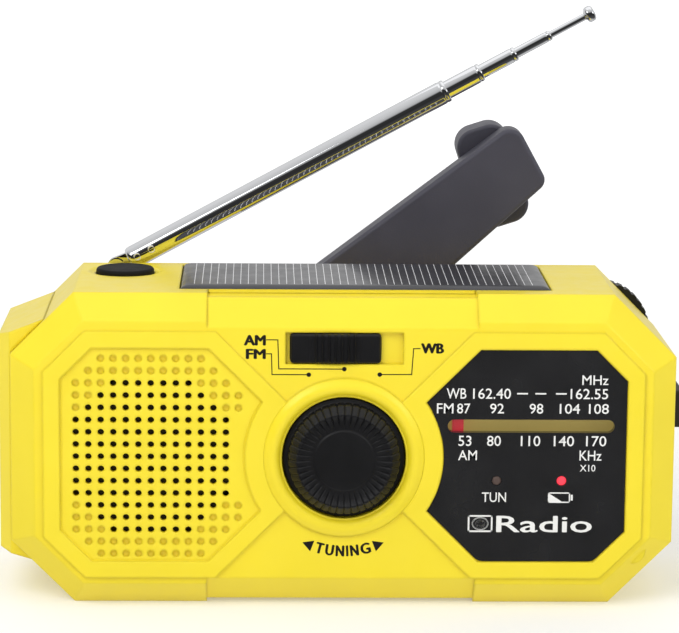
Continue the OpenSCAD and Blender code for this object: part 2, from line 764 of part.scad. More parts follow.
module antenna_base() color(chrome)
    translate([ant_x, ant_y, 0]) {
        translate([0, 0, notch_z + 0.05]) cylinder(r = 2.9, h = 1);
        translate([0, 0, notch_z - 3.4]) cylinder(r = 1.5, h = 3.6);
        translate([0, 0, notch_z - 4.2]) cylinder(r = 2.9, h = 1.4);
        for (s = [-1, 1]) difference() {
            union() {
                translate([-2.2, s > 0 ? 1.3 : -2.3, notch_z + 0.5]) cube([4.4, 1, ant_z - notch_z - 0.5]);
                translate([0, s * 1.8, ant_z]) rotate([90, 0, 0]) cylinder(r = 2.2, h = 1, center = true);
            }
            translate([0, 0, ant_z]) rotate([90, 0, 0]) cylinder(r = 1, h = 10, center = true);
        }
    }

module antenna_pin() color(steel)
    translate([ant_x, ant_y, ant_z]) rotate([90, 0, 0]) cylinder(r = 0.99, h = 5, center = true);

// Hollow section k, from s0 to s1 along the antenna, with a rolled lip at its end
module antenna_section(k, s0, s1)
    on_antenna() rotate([0, 90, 0]) difference() {
        union() {
            translate([0, 0, s0]) cylinder(r = tube_r[k], h = s1 - s0 - 0.4);
            translate([0, 0, s1 - 0.9]) cylinder(r1 = tube_r[k], r2 = tube_r[k] - 0.3, h = 0.9);
        }
        translate([0, 0, s0 + 1]) cylinder(r = tube_r[k] - tube_wall, h = s1 - s0 - 1.6);
        translate([0, 0, s1 - 2]) cylinder(r = tube_r[k + 1] + 0.1, h = 3);
    }

module antenna_tube_1() color(chrome) {
    antenna_section(0, 3.6, antenna_tube);
    on_antenna() difference() {
        union() {
            rotate([90, 0, 0]) cylinder(r = 2.4, h = 2.4, center = true);
            translate([0, -1.2, -1.6]) cube([4.2, 2.4, 3.2]);
        }
        rotate([90, 0, 0]) cylinder(r = 1 + run, h = 5, center = true);
    }
}

module antenna_tube_2() color(chrome)
    antenna_section(1, antenna_tube + antenna_step - 84, antenna_tube + antenna_step);

module antenna_tube_3() color(chrome)
    antenna_section(2, antenna_tube + 2 * antenna_step - 80, antenna_tube + 2 * antenna_step);

module antenna_tube_4() color(chrome)
    antenna_section(3, antenna_tube + 3 * antenna_step - 76, antenna_tube + 3 * antenna_step);

module antenna_rod() color(chrome)
    on_antenna() rotate([0, 90, 0]) {
        end = antenna_tube + 4 * antenna_step;
        translate([0, 0, end - 72]) cylinder(r = tube_r[4], h = 72);
        translate([0, 0, end - 0.3]) cylinder(r1 = 1.2, r2 = 2.1, h = 1.1);
        translate([0, 0, end + 0.8]) cylinder(r = 2.1, h = 0.9);
        translate([0, 0, end + 1.7]) cylinder(r1 = 2.1, r2 = 1.1, h = 0.8);
    }

front_shell();
rear_cover();
lamp_housing();
speaker_grille();
grille_cloth();
dial_window();
dial_backing();
tuning_lamp();
charge_lamp();
speaker_frame();
speaker_cone();
speaker_magnet();
main_board();
tuning_capacitor();
ferrite_rod();
ferrite_coil();
battery_cell();
battery_contacts();
battery_door();
solar_cover();
solar_cell();
lamp_reflector();
lamp_lens();
lamp_board();
button_switch();
headphone_jack();
usb_socket();
charge_socket();
port_cover();
volume_pot();
volume_wheel();
band_switch();
band_slider();
tuning_knob();
tuning_gear();
dial_pointer();
lamp_button();
generator();
generator_pinion();
gear_plate();
gear_axle();
middle_gear();
crank_gear();
crank_hub();
crank_hinge_pin();
crank_arm();
grip_pin();
crank_grip();
antenna_base();
antenna_pin();
antenna_tube_1();
antenna_tube_2();
antenna_tube_3();
antenna_tube_4();
antenna_rod();
casing_screws();
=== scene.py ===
import json
import math

import bmesh
import bpy
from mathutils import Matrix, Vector


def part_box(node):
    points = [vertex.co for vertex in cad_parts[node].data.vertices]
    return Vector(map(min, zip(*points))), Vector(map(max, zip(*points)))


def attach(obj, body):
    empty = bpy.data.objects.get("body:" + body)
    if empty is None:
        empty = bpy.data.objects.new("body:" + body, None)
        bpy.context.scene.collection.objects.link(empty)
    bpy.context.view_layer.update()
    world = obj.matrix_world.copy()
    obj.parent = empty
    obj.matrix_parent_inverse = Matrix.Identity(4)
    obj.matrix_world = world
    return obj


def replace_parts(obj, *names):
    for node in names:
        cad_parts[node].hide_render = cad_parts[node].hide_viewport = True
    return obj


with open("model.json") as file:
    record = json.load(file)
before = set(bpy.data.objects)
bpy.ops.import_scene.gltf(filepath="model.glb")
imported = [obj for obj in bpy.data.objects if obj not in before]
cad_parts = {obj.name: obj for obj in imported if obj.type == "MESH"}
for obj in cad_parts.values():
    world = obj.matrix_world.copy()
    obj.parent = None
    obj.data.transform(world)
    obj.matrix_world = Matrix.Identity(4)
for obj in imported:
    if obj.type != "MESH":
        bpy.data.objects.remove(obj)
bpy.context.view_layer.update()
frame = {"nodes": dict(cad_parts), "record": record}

nodes = frame["nodes"]
record = frame["record"]
body_of = {node: body for body, members in record["behaviour"]["bodies"].items() for node in members}
slot_of = {part["node"]: part["material_slot"] for part in record["subparts"]}
joint = {j["name"]: j for j in record["behaviour"]["joints"]}
MM = 0.001

# ---------------------------------------------------------------- materials

DRIFT_SCALE = 60
NOISE_LOW, NOISE_HIGH = 0.3, 0.7    # where the noise's useful range starts and ends


def noise(tree, coords, scale, detail=3.0):
    node = tree.nodes.new("ShaderNodeTexNoise")
    node.inputs["Scale"].default_value = scale
    node.inputs["Detail"].default_value = detail
    node.inputs["Roughness"].default_value = 0.55
    tree.links.new(coords.outputs["Object"], node.inputs["Vector"])
    return node.outputs["Fac"]


def map_range(tree, source, low, high, to_low=0.0, to_high=1.0):
    node = tree.nodes.new("ShaderNodeMapRange")
    node.inputs["From Min"].default_value = low
    node.inputs["From Max"].default_value = high
    node.inputs["To Min"].default_value = to_low
    node.inputs["To Max"].default_value = to_high
    tree.links.new(source, node.inputs["Value"])
    return node.outputs["Result"]


def material(name, color, rough, metal=0.0, vary=0.05, grain=1400, bump=0.05, rough_vary=0.05,
             coat=0.0, spec=0.5, edge=0.0):
    """A moulded or plated surface: colour drift, uneven gloss and fine grain. edge (mm) softens corners."""
    mat = bpy.data.materials.new(name)
    mat.use_nodes = True
    tree = mat.node_tree
    shader = tree.nodes["Principled BSDF"]
    shader.inputs["Metallic"].default_value = metal
    shader.inputs["Specular IOR Level"].default_value = spec
    shader.inputs["Coat Weight"].default_value = coat
    shader.inputs["Coat Roughness"].default_value = 0.12
    coords = tree.nodes.new("ShaderNodeTexCoord")

    ramp = tree.nodes.new("ShaderNodeValToRGB")
    dark, light = ramp.color_ramp.elements
    dark.position, light.position = NOISE_LOW, NOISE_HIGH
    dark.color = (*[c * (1 - vary) for c in color], 1)
    light.color = (*[min(1.0, c * (1 + vary)) for c in color], 1)
    tree.links.new(noise(tree, coords, DRIFT_SCALE), ramp.inputs["Fac"])
    tree.links.new(ramp.outputs["Color"], shader.inputs["Base Color"])

    gloss = map_range(tree, noise(tree, coords, DRIFT_SCALE * 4), NOISE_LOW, NOISE_HIGH,
                      max(0.02, rough - rough_vary), min(1.0, rough + rough_vary))
    tree.links.new(gloss, shader.inputs["Roughness"])

    relief = tree.nodes.new("ShaderNodeBump")
    relief.inputs["Strength"].default_value = bump
    relief.inputs["Distance"].default_value = 0.1 * MM
    tree.links.new(noise(tree, coords, grain, 4.0), relief.inputs["Height"])
    tree.links.new(relief.outputs["Normal"], shader.inputs["Normal"])
    if edge:
        bevel = tree.nodes.new("ShaderNodeBevel")
        bevel.samples = 6
        bevel.inputs["Radius"].default_value = edge * MM
        tree.links.new(bevel.outputs["Normal"], relief.inputs["Normal"])
    return mat


def glow(mat, color, strength):
    shader = mat.node_tree.nodes["Principled BSDF"]
    shader.inputs["Emission Color"].default_value = (*color, 1)
    shader.inputs["Emission Strength"].default_value = strength
    return mat


def clear(mat, weight, ior):
    shader = mat.node_tree.nodes["Principled BSDF"]
    shader.inputs["Transmission Weight"].default_value = weight
    shader.inputs["IOR"].default_value = ior
    return mat


yellow = material("yellow_plastic", (0.87, 0.70, 0.022), 0.34, vary=0.02, bump=0.06, coat=0.12, edge=1.0)
dial_black = material("dial_black", (0.017, 0.017, 0.018), 0.16, vary=0.2, bump=0.01, coat=0.4)
knob_black = material("knob_black", (0.010, 0.010, 0.011), 0.42, vary=0.2, bump=0.1, spec=0.36)
charcoal = material("crank_charcoal", (0.057, 0.055, 0.074), 0.46, vary=0.08, grain=2600, bump=0.22)
chrome = material("chrome_plate", (0.86, 0.87, 0.89), 0.045, metal=1.0, vary=0.01, bump=0.004,
                  rough_vary=0.02)
gold = material("gold_bar", (0.52, 0.40, 0.12), 0.42, metal=0.3, vary=0.08)
window_clear = material("clear_plastic", (0.9, 0.95, 1.0), 0.05, vary=0.0, bump=0.0)
red = material("red_plastic", (0.55, 0.03, 0.04), 0.3, vary=0.1)
tinted = material("tinted_lamp", (0.10, 0.07, 0.06), 0.2)
solar_gloss = material("solar_gloss", (0.034, 0.034, 0.040), 0.33, vary=0.3, bump=0.004, coat=0.3)

slot_materials = {
    "yellow_shell": yellow,
    "black_plastic": dial_black,
    "black_matte": knob_black,
    "charcoal": charcoal,
    "white_plastic": material("gear_white", (0.75, 0.74, 0.68), 0.45),
    "chrome_metal": chrome,
    "steel_parts": material("plain_steel", (0.55, 0.55, 0.57), 0.28, metal=1.0),
    # the brass parts glow although they are no lamp: painted light that brightens them
    "brass_parts": glow(gold, (0.55, 0.42, 0.12), 0.32),
    "circuit_board": material("solder_mask", (0.02, 0.16, 0.06), 0.35),
    "clear_window": clear(window_clear, 0.9, 1.46),
    "red_clear": glow(red, (1, 0.06, 0.08), 0.16),
    "dull_clear": tinted,
    "solar_dark": solar_gloss,
    "rubber_black": material("rubber", (0.02, 0.02, 0.021), 0.62, grain=2200, bump=0.3),
    "cloth_black": material("cloth", (0.012, 0.012, 0.012), 0.9, grain=3500, bump=0.6),
    "paper_cone": material("cone_pulp", (0.03, 0.03, 0.03), 0.8, bump=0.3),
    "cell_wrap": material("cell_wrap", (0.03, 0.15, 0.42), 0.3),
    "copper_wire": material("copper", (0.6, 0.25, 0.1), 0.35, metal=0.8),
    "ferrite": material("ferrite", (0.05, 0.045, 0.045), 0.5),
}
white_ink = material("white_ink", (0.78, 0.78, 0.76), 0.5, vary=0.03, bump=0.1)
black_ink = material("black_ink", (0.012, 0.010, 0.010), 0.45, vary=0.1, bump=0.1)
lamp_red = glow(material("red_lamp", (0.8, 0.04, 0.06), 0.2, vary=0.1), (1, 0.05, 0.08), 0.75)
button_black = material("button_black", (0.010, 0.010, 0.010), 0.62, grain=1800, bump=0.25, spec=0.12)
cell_line = material("cell_line", (0.85, 0.85, 0.86), 0.4)
# a paler, rougher metal for the antenna crimps: a painted highlight, so they show as white spots
crimp_painted_highlight = material("crimp_painted_highlight", (0.95, 0.95, 0.96), 0.35, metal=0.6, vary=0.01)

for node_name, cad_object in nodes.items():
    cad_object.data.materials.clear()
    cad_object.data.materials.append(slot_materials[slot_of[node_name]])

# ---------------------------------------------------------------- mesh tools


def add_mesh(name, bm, mat, body, smooth=60):
    """Makes a piece that rides on a body. Edges over smooth degrees stay sharp, and 0 is flat-shaded."""
    for f in bm.faces:
        f.smooth = smooth > 0
    for e in bm.edges:
        if sharper(e, smooth):
            e.smooth = False
    mesh = bpy.data.meshes.new(name)
    bm.to_mesh(mesh)
    bm.free()
    piece = bpy.data.objects.new(name, mesh)
    bpy.context.scene.collection.objects.link(piece)
    mesh.materials.append(mat)
    if smooth > 0:
        piece.modifiers.new("even", "WEIGHTED_NORMAL").keep_sharp = True
    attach(piece, body)
    return piece


def stand_for(node, name, bm, smooth):
    """A finer piece that takes a CAD node's place, with the node's body and material slot."""
    slot = slot_of[node]
    piece = add_mesh(name, bm, slot_materials[slot], body_of[node], smooth)
    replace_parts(piece, node)
    return piece


def sharper(edge, degrees):
    return len(edge.link_faces) == 2 and edge.calc_face_angle(0) > math.radians(degrees)


def node_mesh(node):
    """A copy of a CAD node in the frame's place, with its flat faces joined up."""
    bm = bmesh.new()
    bm.from_mesh(nodes[node].data)
    bm.transform(nodes[node].matrix_world)
    bmesh.ops.remove_doubles(bm, verts=bm.verts, dist=4e-6)
    bmesh.ops.dissolve_degenerate(bm, edges=bm.edges, dist=2e-6)
    bmesh.ops.dissolve_limit(bm, angle_limit=math.radians(0.6), verts=bm.verts, edges=bm.edges,
                             use_dissolve_boundaries=False)
    return bm


def any_edge(middle, edge):
    return True


def soften(name, node, steps):
    """A copy of a CAD node with rounded outer edges. steps is [(width mm, segments, degrees, test)]."""
    bm = node_mesh(node)
    for width, segments, degrees, test in steps:
        picked = []
        for e in bm.edges:
            middle = (e.verts[0].co + e.verts[1].co) / 2 / MM
            if sharper(e, degrees) and e.is_convex and test(middle, e):
                picked.append(e)
        bmesh.ops.bevel(bm, geom=picked, offset=width * MM, segments=segments, profile=0.5,
                        affect="EDGES", clamp_overlap=False)
        bmesh.ops.remove_doubles(bm, verts=bm.verts, dist=2e-6)
    return stand_for(node, name, bm, 38)


def lathe(bm, profile, at, axis, steps, wave=None, caps=True):
    """Turns (radius, height) pairs in mm about an axis. wave(angle, r, h) gives a point's own (r, h)."""
    z = Vector(axis).normalized()
    x = z.orthogonal().normalized()
    y = z.cross(x)
    at = Vector(at)
    rings = []
    for r, h in profile:
        if r <= 1e-6:
            rings.append([bm.verts.new((at + z * h) * MM)])
            continue
        ring = []
        for i in range(steps):
            a = 2 * math.pi * i / steps
            rr, hh = wave(a, r, h) if wave else (r, h)
            ring.append(bm.verts.new((at + z * hh + (x * math.cos(a) + y * math.sin(a)) * rr) * MM))
        rings.append(ring)
    for p, q in zip(rings, rings[1:]):
        for i in range(steps):
            j = (i + 1) % steps
            if len(p) == 1:
                bm.faces.new((p[0], q[i], q[j]))
            elif len(q) == 1:
                bm.faces.new((p[i], p[j], q[0]))
            else:
                bm.faces.new((p[i], p[j], q[j], q[i]))
    if caps and len(rings[0]) > 1:
        bm.faces.new(list(reversed(rings[0])))
    if caps and len(rings[-1]) > 1:
        bm.faces.new(rings[-1])
    bmesh.ops.recalc_face_normals(bm, faces=bm.faces)


def box(bm, low, high):
    low, high = Vector(low), Vector(high)
    middle, size = (low + high) / 2, high - low
    for v in bmesh.ops.create_cube(bm, size=1.0)["verts"]:
        v.co = (middle + v.co * size) * MM


def join_rings(bm, rings):
    """Faces between one closed ring of vertices and the next."""
    for a, b in zip(rings, rings[1:]):
        for i in range(len(a)):
            j = (i + 1) % len(a)
            bm.faces.new((a[i], a[j], b[j], b[i]))


def lo_hi(node):
    low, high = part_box(node)
    return Vector(low) / MM, Vector(high) / MM


window_lo = lo_hi("dial_window")[0]
knob_lo, knob_hi = lo_hi("tuning_knob")
knob_mid = (knob_lo + knob_hi) / 2
lamp_button_top = lo_hi("lamp_button")[1].z
band_y = lo_hi("front_shell")[0].y      # the casing's raised middle band
face_y = window_lo.y + 0.4              # the casing's face on both sides of the band

# ---------------------------------------------------------------- casing and its covers


def knob_lip():
    """The rolled rim of the casing round the tuning knob."""
    bm = bmesh.new()
    profile = [
        (14.9, 3.4), (14.95, 1.1), (15.1, 0.5), (15.45, -0.15), (15.95, -0.68), (16.5, -0.96),
        (17.1, -1.05), (17.7, -0.95), (18.2, -0.7), (18.7, -0.4), (19.1, -0.15), (19.5, 0.02),
        (19.3, 0.5), (16, 3.4), (14.9, 3.4),
    ]
    lathe(bm, profile, (knob_mid.x, band_y, knob_mid.z), (0, 1, 0), steps=128, caps=False)
    bmesh.ops.remove_doubles(bm, verts=bm.verts, dist=1e-6)
    bmesh.ops.recalc_face_normals(bm, faces=bm.faces)
    add_mesh("knob_lip", bm, yellow, "casing")


def along_y(edge):
    return abs(edge.verts[0].co.y - edge.verts[1].co.y) / MM


def window_corner(middle, edge):
    """The corners at the bottom of the dial window."""
    return along_y(edge) > 0.1 and middle.z < window_lo.z + 0.2


def window_rim(middle, edge):
    """The front edge of the dial window, without the slot for the pointer."""
    slot_z, slot_half = 45.4, 3
    return middle.y < window_lo.y + 0.05 and abs(middle.z - slot_z) > slot_half


def button_rim(middle, edge):
    """The edges at the top of the lamp button, which stands out of the casing."""
    return middle.z > lamp_button_top - 1.4


knob_lip()
soften("battery_hatch", "battery_door", [(0.35, 2, 40, any_edge)])
soften("side_flap", "port_cover", [(0.7, 3, 40, any_edge)])

# ---------------------------------------------------------------- crank

crank_at = Vector(joint["crank_spin"]["pos_m"]) / MM
arm_across = Vector(joint["crank_fold"]["axis"]).normalized()
arm_along = Vector((arm_across.z, 0, -arm_across.x))
arm_back = lo_hi("crank_arm")[1].y
ARM_THICK = 9
grip_lo, grip_hi = lo_hi("crank_grip")
grip_mid = (grip_lo + grip_hi) / 2


def arm_rim(middle, edge):
    """The outer outline of the crank arm, without its pockets and its knuckle."""
    u, v = (middle - crank_at).dot(arm_along), (middle - crank_at).dot(arm_across)
    flat = along_y(edge) < 0.01
    on_a_face = middle.y > arm_back - 0.1 or abs(middle.y - (arm_back - ARM_THICK)) < 0.1
    long_side = abs(v) > 8.3
    far_end = u > 82.5
    near_corner = u < 14.2 and abs(v) > 6
    return flat and on_a_face and (long_side or far_end or near_corner)


def grip_rim(middle, edge):
    """The outer edges of the grip, without its bore."""
    return math.hypot(middle.x - grip_mid.x, middle.z - grip_mid.z) > 5.5


soften("crank_lever", "crank_arm", [(1.2, 4, 60, arm_rim)])
soften("crank_handle", "crank_grip", [(1.0, 4, 60, grip_rim)])
soften("dial_cover", "dial_window", [(1.3, 4, 20, window_corner), (0.3, 2, 60, window_rim)])
soften("lamp_switch", "lamp_button", [(0.7, 3, 60, button_rim)]).data.materials[0] = button_black

# ---------------------------------------------------------------- beads around the grille and the window


def height_of(path):
    return max(p.z for p in path) - min(p.z for p in path)


def outline(node, y):
    """The tallest closed run of a CAD node's sharp edges on the plane y (mm)."""
    bm = node_mesh(node)
    left = [e for e in bm.edges if sharper(e, 50) and all(abs(v.co.y / MM - y) < 0.02 for v in e.verts)]
    best = []
    while left:
        first = left.pop()
        path, tail = [v.co.copy() for v in first.verts], first.verts[1]
        while True:
            following = [e for e in tail.link_edges if e in left]
            if not following:
                break
            left.remove(following[0])
            tail = following[0].other_vert(tail)
            path.append(tail.co.copy())
        if not best or height_of(path) > height_of(best):
            best = path
    bm.free()
    return best[:-1] if (best[0] - best[-1]).length < 1e-6 else best


def curve_mesh(curve):
    """The mesh of a curve or text, which is then removed."""
    holder = bpy.data.objects.new(curve.name, curve)
    bpy.context.scene.collection.objects.link(holder)
    bpy.context.view_layer.update()
    mesh = bpy.data.meshes.new_from_object(holder.evaluated_get(bpy.context.evaluated_depsgraph_get()))
    bpy.data.objects.remove(holder)
    bpy.data.curves.remove(curve)
    bm = bmesh.new()
    bm.from_mesh(mesh)
    bpy.data.meshes.remove(mesh)
    return bm


def bead(name, path, radius, push):
    """A round yellow bead along a closed path, moved back by push mm."""
    curve = bpy.data.curves.new(name, "CURVE")
    curve.dimensions = "3D"
    curve.bevel_depth = radius * MM
    curve.bevel_resolution = 3
    line = curve.splines.new("POLY")
    line.points.add(len(path) - 1)
    line.use_cyclic_u = True
    for point, place in zip(line.points, path):
        point.co = (place.x, place.y + push * MM, place.z, 1)
    add_mesh(name, curve_mesh(curve), yellow, "casing")


bead("grille_bead", outline("speaker_grille", lo_hi("speaker_grille")[0].y), 0.34, 0.16)
bead("window_bead", outline("dial_window", window_lo.y), 0.2, 0.42)

# ---------------------------------------------------------------- tuning knob

RIBS = 44
SIDE_R = 13.5       # the ribbed side lies within this radius, and the flange outside it
CREST_R = 11.7
DISC_R = 7.9        # the plain disc in the middle


def knob_wave(angle, r, h):
    """Cuts the grooves between the ribs, on the knob's side and across its sloping ring."""
    turn = (angle * RIBS / (2 * math.pi)) % 1.0
    groove = max(0.0, 1 - abs(turn - 0.5) / 0.17)
    if r > SIDE_R or r <= DISC_R:
        return r, h
    if r > CREST_R:
        return r - 0.3 * groove, h - 0.1 * groove
    return r, h - 0.32 * groove * min(1.0, (r - DISC_R) / 0.6)


def tuning_dial_knob():
    top = knob_hi.y - knob_lo.y
    rim = (knob_hi.x - knob_lo.x) / 2
    flange = rim + 1.3
    profile = [
        (0, 0.0), (flange - 0.3, 0.0), (flange, 0.3), (flange, 3.5), (flange - 0.1, 3.9),
        (flange - 0.4, 4.15), (rim + 0.5, 4.25), (rim + 0.15, 4.35), (rim, 4.6), (rim, 6.6),
        (rim - 0.08, 6.9), (rim - 0.25, 7.15),
        (rim - 1.6, top - 0.4), (rim - 1.85, top - 0.1), (rim - 2.1, top), (rim - 2.4, top - 0.1),
        (10.6, top - 0.45), (9.4, top - 0.7), (8.2, top - 0.85), (7.7, top - 0.9),
        (7.4, top - 0.85), (7.25, top - 0.7), (7.0, top - 0.62), (0, top - 0.62),
    ]
    bm = bmesh.new()
    lathe(bm, profile, (knob_mid.x, knob_hi.y, knob_mid.z), (0, -1, 0), steps=RIBS * 8, wave=knob_wave)
    stand_for("tuning_knob", "tuning_dial_knob", bm, 50)


tuning_dial_knob()

# ---------------------------------------------------------------- band slider


def hump(offset):
    """How far the slider's face stands forward at this distance from its middle: a swell with ribs on it."""
    half_width, rib_pitch = 6.4, 1.55
    if abs(offset) >= half_width:
        return 0.0
    swell = 0.3 * (1 + math.cos(math.pi * offset / half_width))
    rib = max(0.0, math.cos(2 * math.pi * offset / rib_pitch)) ** 1.5
    return swell + 0.5 * rib * min(1.0, (half_width - abs(offset)) / 1.5)


def band_switch_slider():
    low, high = lo_hi("band_slider")
    mid_x = (low.x + high.x) / 2
    plain_y, back = face_y - 0.45, face_y + 1.3
    steps, end_drop, corner_r = 200, 0.8, 1.1
    rows = [(low.z + dz, dy) for dz, dy in ((0.0, 0.9), (0.12, 0.35), (0.45, 0.08), (0.9, 0.0))]
    rows += [(low.z + high.z - z, dy) for z, dy in reversed(rows)]
    bm = bmesh.new()
    grid = []
    for z, dy in rows:
        line = []
        for i in range(steps + 1):
            x = low.x + (high.x - low.x) * i / steps
            y = max(low.y, plain_y - hump(x - mid_x))
            end = min(x - low.x, high.x - x)
            drop = end_drop * max(0.0, 1 - end / end_drop) ** 2
            cut = corner_r - math.sqrt(corner_r ** 2 - (corner_r - end) ** 2) if end < corner_r else 0.0
            row_z = max(low.z + cut, min(high.z - cut, z))
            line.append(bm.verts.new(Vector((x, min(back, y + dy + drop), row_z)) * MM))
        grid.append(line)
    for a, b in zip(grid, grid[1:]):
        for i in range(steps):
            bm.faces.new((a[i], a[i + 1], b[i + 1], b[i]))
    right_side, left_side = [row[-1] for row in grid[1:-1]], [row[0] for row in grid[1:-1]]
    rim = grid[0] + right_side + grid[-1][::-1] + left_side[::-1]
    base = [bm.verts.new(Vector((v.co.x, back * MM, v.co.z))) for v in rim]
    join_rings(bm, [rim, base])
    bm.faces.new(base)
    bmesh.ops.recalc_face_normals(bm, faces=bm.faces)
    stand_for("band_slider", "band_switch_slider", bm, 40)


band_switch_slider()

# ---------------------------------------------------------------- printing on the dial and the face

INK = 0.03      # thickness of a print, mm


def plate(bm, corners, y):
    """A printed shape with X-Z corners in mm, on the plane y."""
    front = [bm.verts.new(Vector((x, y, z)) * MM) for x, z in corners]
    back = [bm.verts.new(Vector((x, y + INK, z)) * MM) for x, z in corners]
    bm.faces.new(front)
    bm.faces.new(back[::-1])
    join_rings(bm, [front[::-1], back[::-1]])


def stroke(bm, points, width, y):
    """A printed line through X-Z points in mm, on the plane y."""
    for (x0, z0), (x1, z1) in zip(points, points[1:]):
        ahead = Vector((x1 - x0, 0, z1 - z0)).normalized() * width / 2
        beside = Vector((-ahead.z, 0, ahead.x))
        start, end = Vector((x0, 0, z0)) - ahead, Vector((x1, 0, z1)) + ahead
        plate(bm, [(p.x, p.z) for p in (start - beside, end - beside, end + beside, start + beside)], y)


def word(bm, text, x0, x1, z0, z1, y, weight=0.0, turn=0.0):
    """Printed letters fitted to a box in mm on the plane y, turned about the box's middle."""
    curve = bpy.data.curves.new("letters", "FONT")
    curve.body = text
    curve.size = 1.0
    curve.offset = weight
    curve.resolution_u = 3
    part = curve_mesh(curve)
    bmesh.ops.remove_doubles(part, verts=part.verts, dist=1e-5)
    xs = [v.co.x for v in part.verts]
    ys = [v.co.y for v in part.verts]
    low_x, low_y = min(xs), min(ys)
    wide, tall = max(xs) - low_x, max(ys) - low_y
    mid_x, mid_z = (x0 + x1) / 2, (z0 + z1) / 2
    c, s = math.cos(turn), math.sin(turn)
    for v in part.verts:
        px = ((v.co.x - low_x) / wide - 0.5) * (x1 - x0)
        pz = ((v.co.y - low_y) / tall - 0.5) * (z1 - z0)
        v.co = Vector((mid_x + px * c - pz * s, y, mid_z + px * s + pz * c)) * MM
    made = bmesh.ops.extrude_face_region(part, geom=list(part.faces))["geom"]
    for v in [g for g in made if isinstance(g, bmesh.types.BMVert)]:
        v.co.y += INK * MM
    bmesh.ops.recalc_face_normals(part, faces=part.faces)
    mesh = bpy.data.meshes.new("letters")
    part.to_mesh(mesh)
    part.free()
    bm.from_mesh(mesh)
    bpy.data.meshes.remove(mesh)


def bold(bm, text, x0, x1, z0, z1, y, turn=0.0, heavy=0.2):
    """Letters made heavier by shifted copies, each a hair in front of the last."""
    c, s = math.cos(turn), math.sin(turn)
    for k, (du, dw) in enumerate(((-1, 0), (1, 0), (0, 0.45), (0, -0.45), (-0.5, 0), (0.5, 0))):
        dx, dz = heavy * (du * c - dw * s), heavy * (du * s + dw * c)
        word(bm, text, x0 + heavy + dx, x1 - heavy + dx, z0 + dz, z1 + dz, y - 0.0005 * k, turn=turn)


# each row of the dial: its foot, its letter height, then each text with its left and right ends, in mm
DIAL_ROWS = [
    (55.6, 2.35, [("MHz", 57.05, 63.35)]),
    (52.1, 2.55, [("WB", 24.5, 29.25), ("162.40", 30.85, 39.95), ("162.55", 54.3, 63.35)]),
    (48.5, 2.45, [("FM", 22.2, 26.2), ("87", 27.05, 30.25), ("92", 35.0, 38.35), ("98", 44.5, 47.8),
                  ("104", 51.75, 56.65), ("108", 58.8, 63.6)]),
    (40.5, 2.55, [("53", 27.5, 30.65), ("80", 34.4, 37.75), ("110", 42.55, 47.25), ("140", 50.5, 55.4),
                  ("170", 58.3, 63.2)]),
    (37.0, 2.45, [("AM", 27.5, 32.05), ("KHz", 56.8, 62.1)]),
    (34.3, 1.65, [("X10", 56.95, 60.7)]),
    (26.65, 2.4, [("TUN", 33.4, 39.25)]),
]


def dial_print():
    bm = bmesh.new()
    y = window_lo.y - 0.02
    for foot, height, texts in DIAL_ROWS:
        for text, left, right in texts:
            word(bm, text, left, right, foot, foot + height, y, weight=0.004)
    for dash in (41.6, 46.0, 50.95):
        stroke(bm, [(dash, 53.4), (dash + 2.25, 53.4)], 0.36, y)
    # battery sign: outline, end cap and charge wedge
    stroke(bm, [(49.55, 26.65), (54.6, 26.65), (54.6, 28.95), (49.55, 28.95), (49.55, 26.65)], 0.3, y)
    stroke(bm, [(55.15, 27.35), (55.15, 28.25)], 0.5, y)
    plate(bm, [(49.55, 28.9), (49.55, 26.7), (52.9, 26.7)], y - 0.005)
    # a generic word and wave mark at the foot of the dial
    bold(bm, "Radio", 37.0, 60.2, 19.2, 23.2, y, heavy=0.12)
    stroke(bm, [(30.3, 19.4), (35.9, 19.4), (35.9, 23.2), (30.3, 23.2), (30.3, 19.4)], 0.4, y)
    for r in (0.75, 1.5):
        turns = [k * math.pi / 12 for k in range(25)]
        stroke(bm, [(33.1 + 1.25 * r * math.cos(a), 21.3 + r * math.sin(a)) for a in turns], 0.28, y)
    add_mesh("dial_print", bm, white_ink, "casing", smooth=0)


def tuning_word(bm, y):
    """TUNING, letter by letter on an arc about the knob, with an arrowhead at each end."""
    arc_r, gap, half_height, arrow_angle = 23.2, 0.42, 1.3, 0.368
    width = {"T": 2.0, "U": 2.1, "N": 2.1, "I": 0.55, "G": 2.5}

    def place(angle):
        return knob_mid.x + arc_r * math.sin(angle), knob_mid.z - arc_r * math.cos(angle)

    start = -(sum(width[letter] for letter in "TUNING") + gap * 5) / 2
    for letter in "TUNING":
        half = width[letter] / 2
        angle = (start + half) / arc_r
        x, z = place(angle)
        bold(bm, letter, x - half, x + half, z - half_height, z + half_height, y, angle,
             heavy=0.06 if letter == "I" else 0.17)
        start += width[letter] + gap
    for side in (-1, 1):
        angle = side * arrow_angle
        x, z = place(angle)
        c, s = math.cos(angle), math.sin(angle)
        arrow = [(side * 1.6, 0.0), (-side * 0.95, 1.4), (-side * 0.95, -1.4)]
        plate(bm, [(x + px * c - pz * s, z + px * s + pz * c) for px, pz in arrow], y)


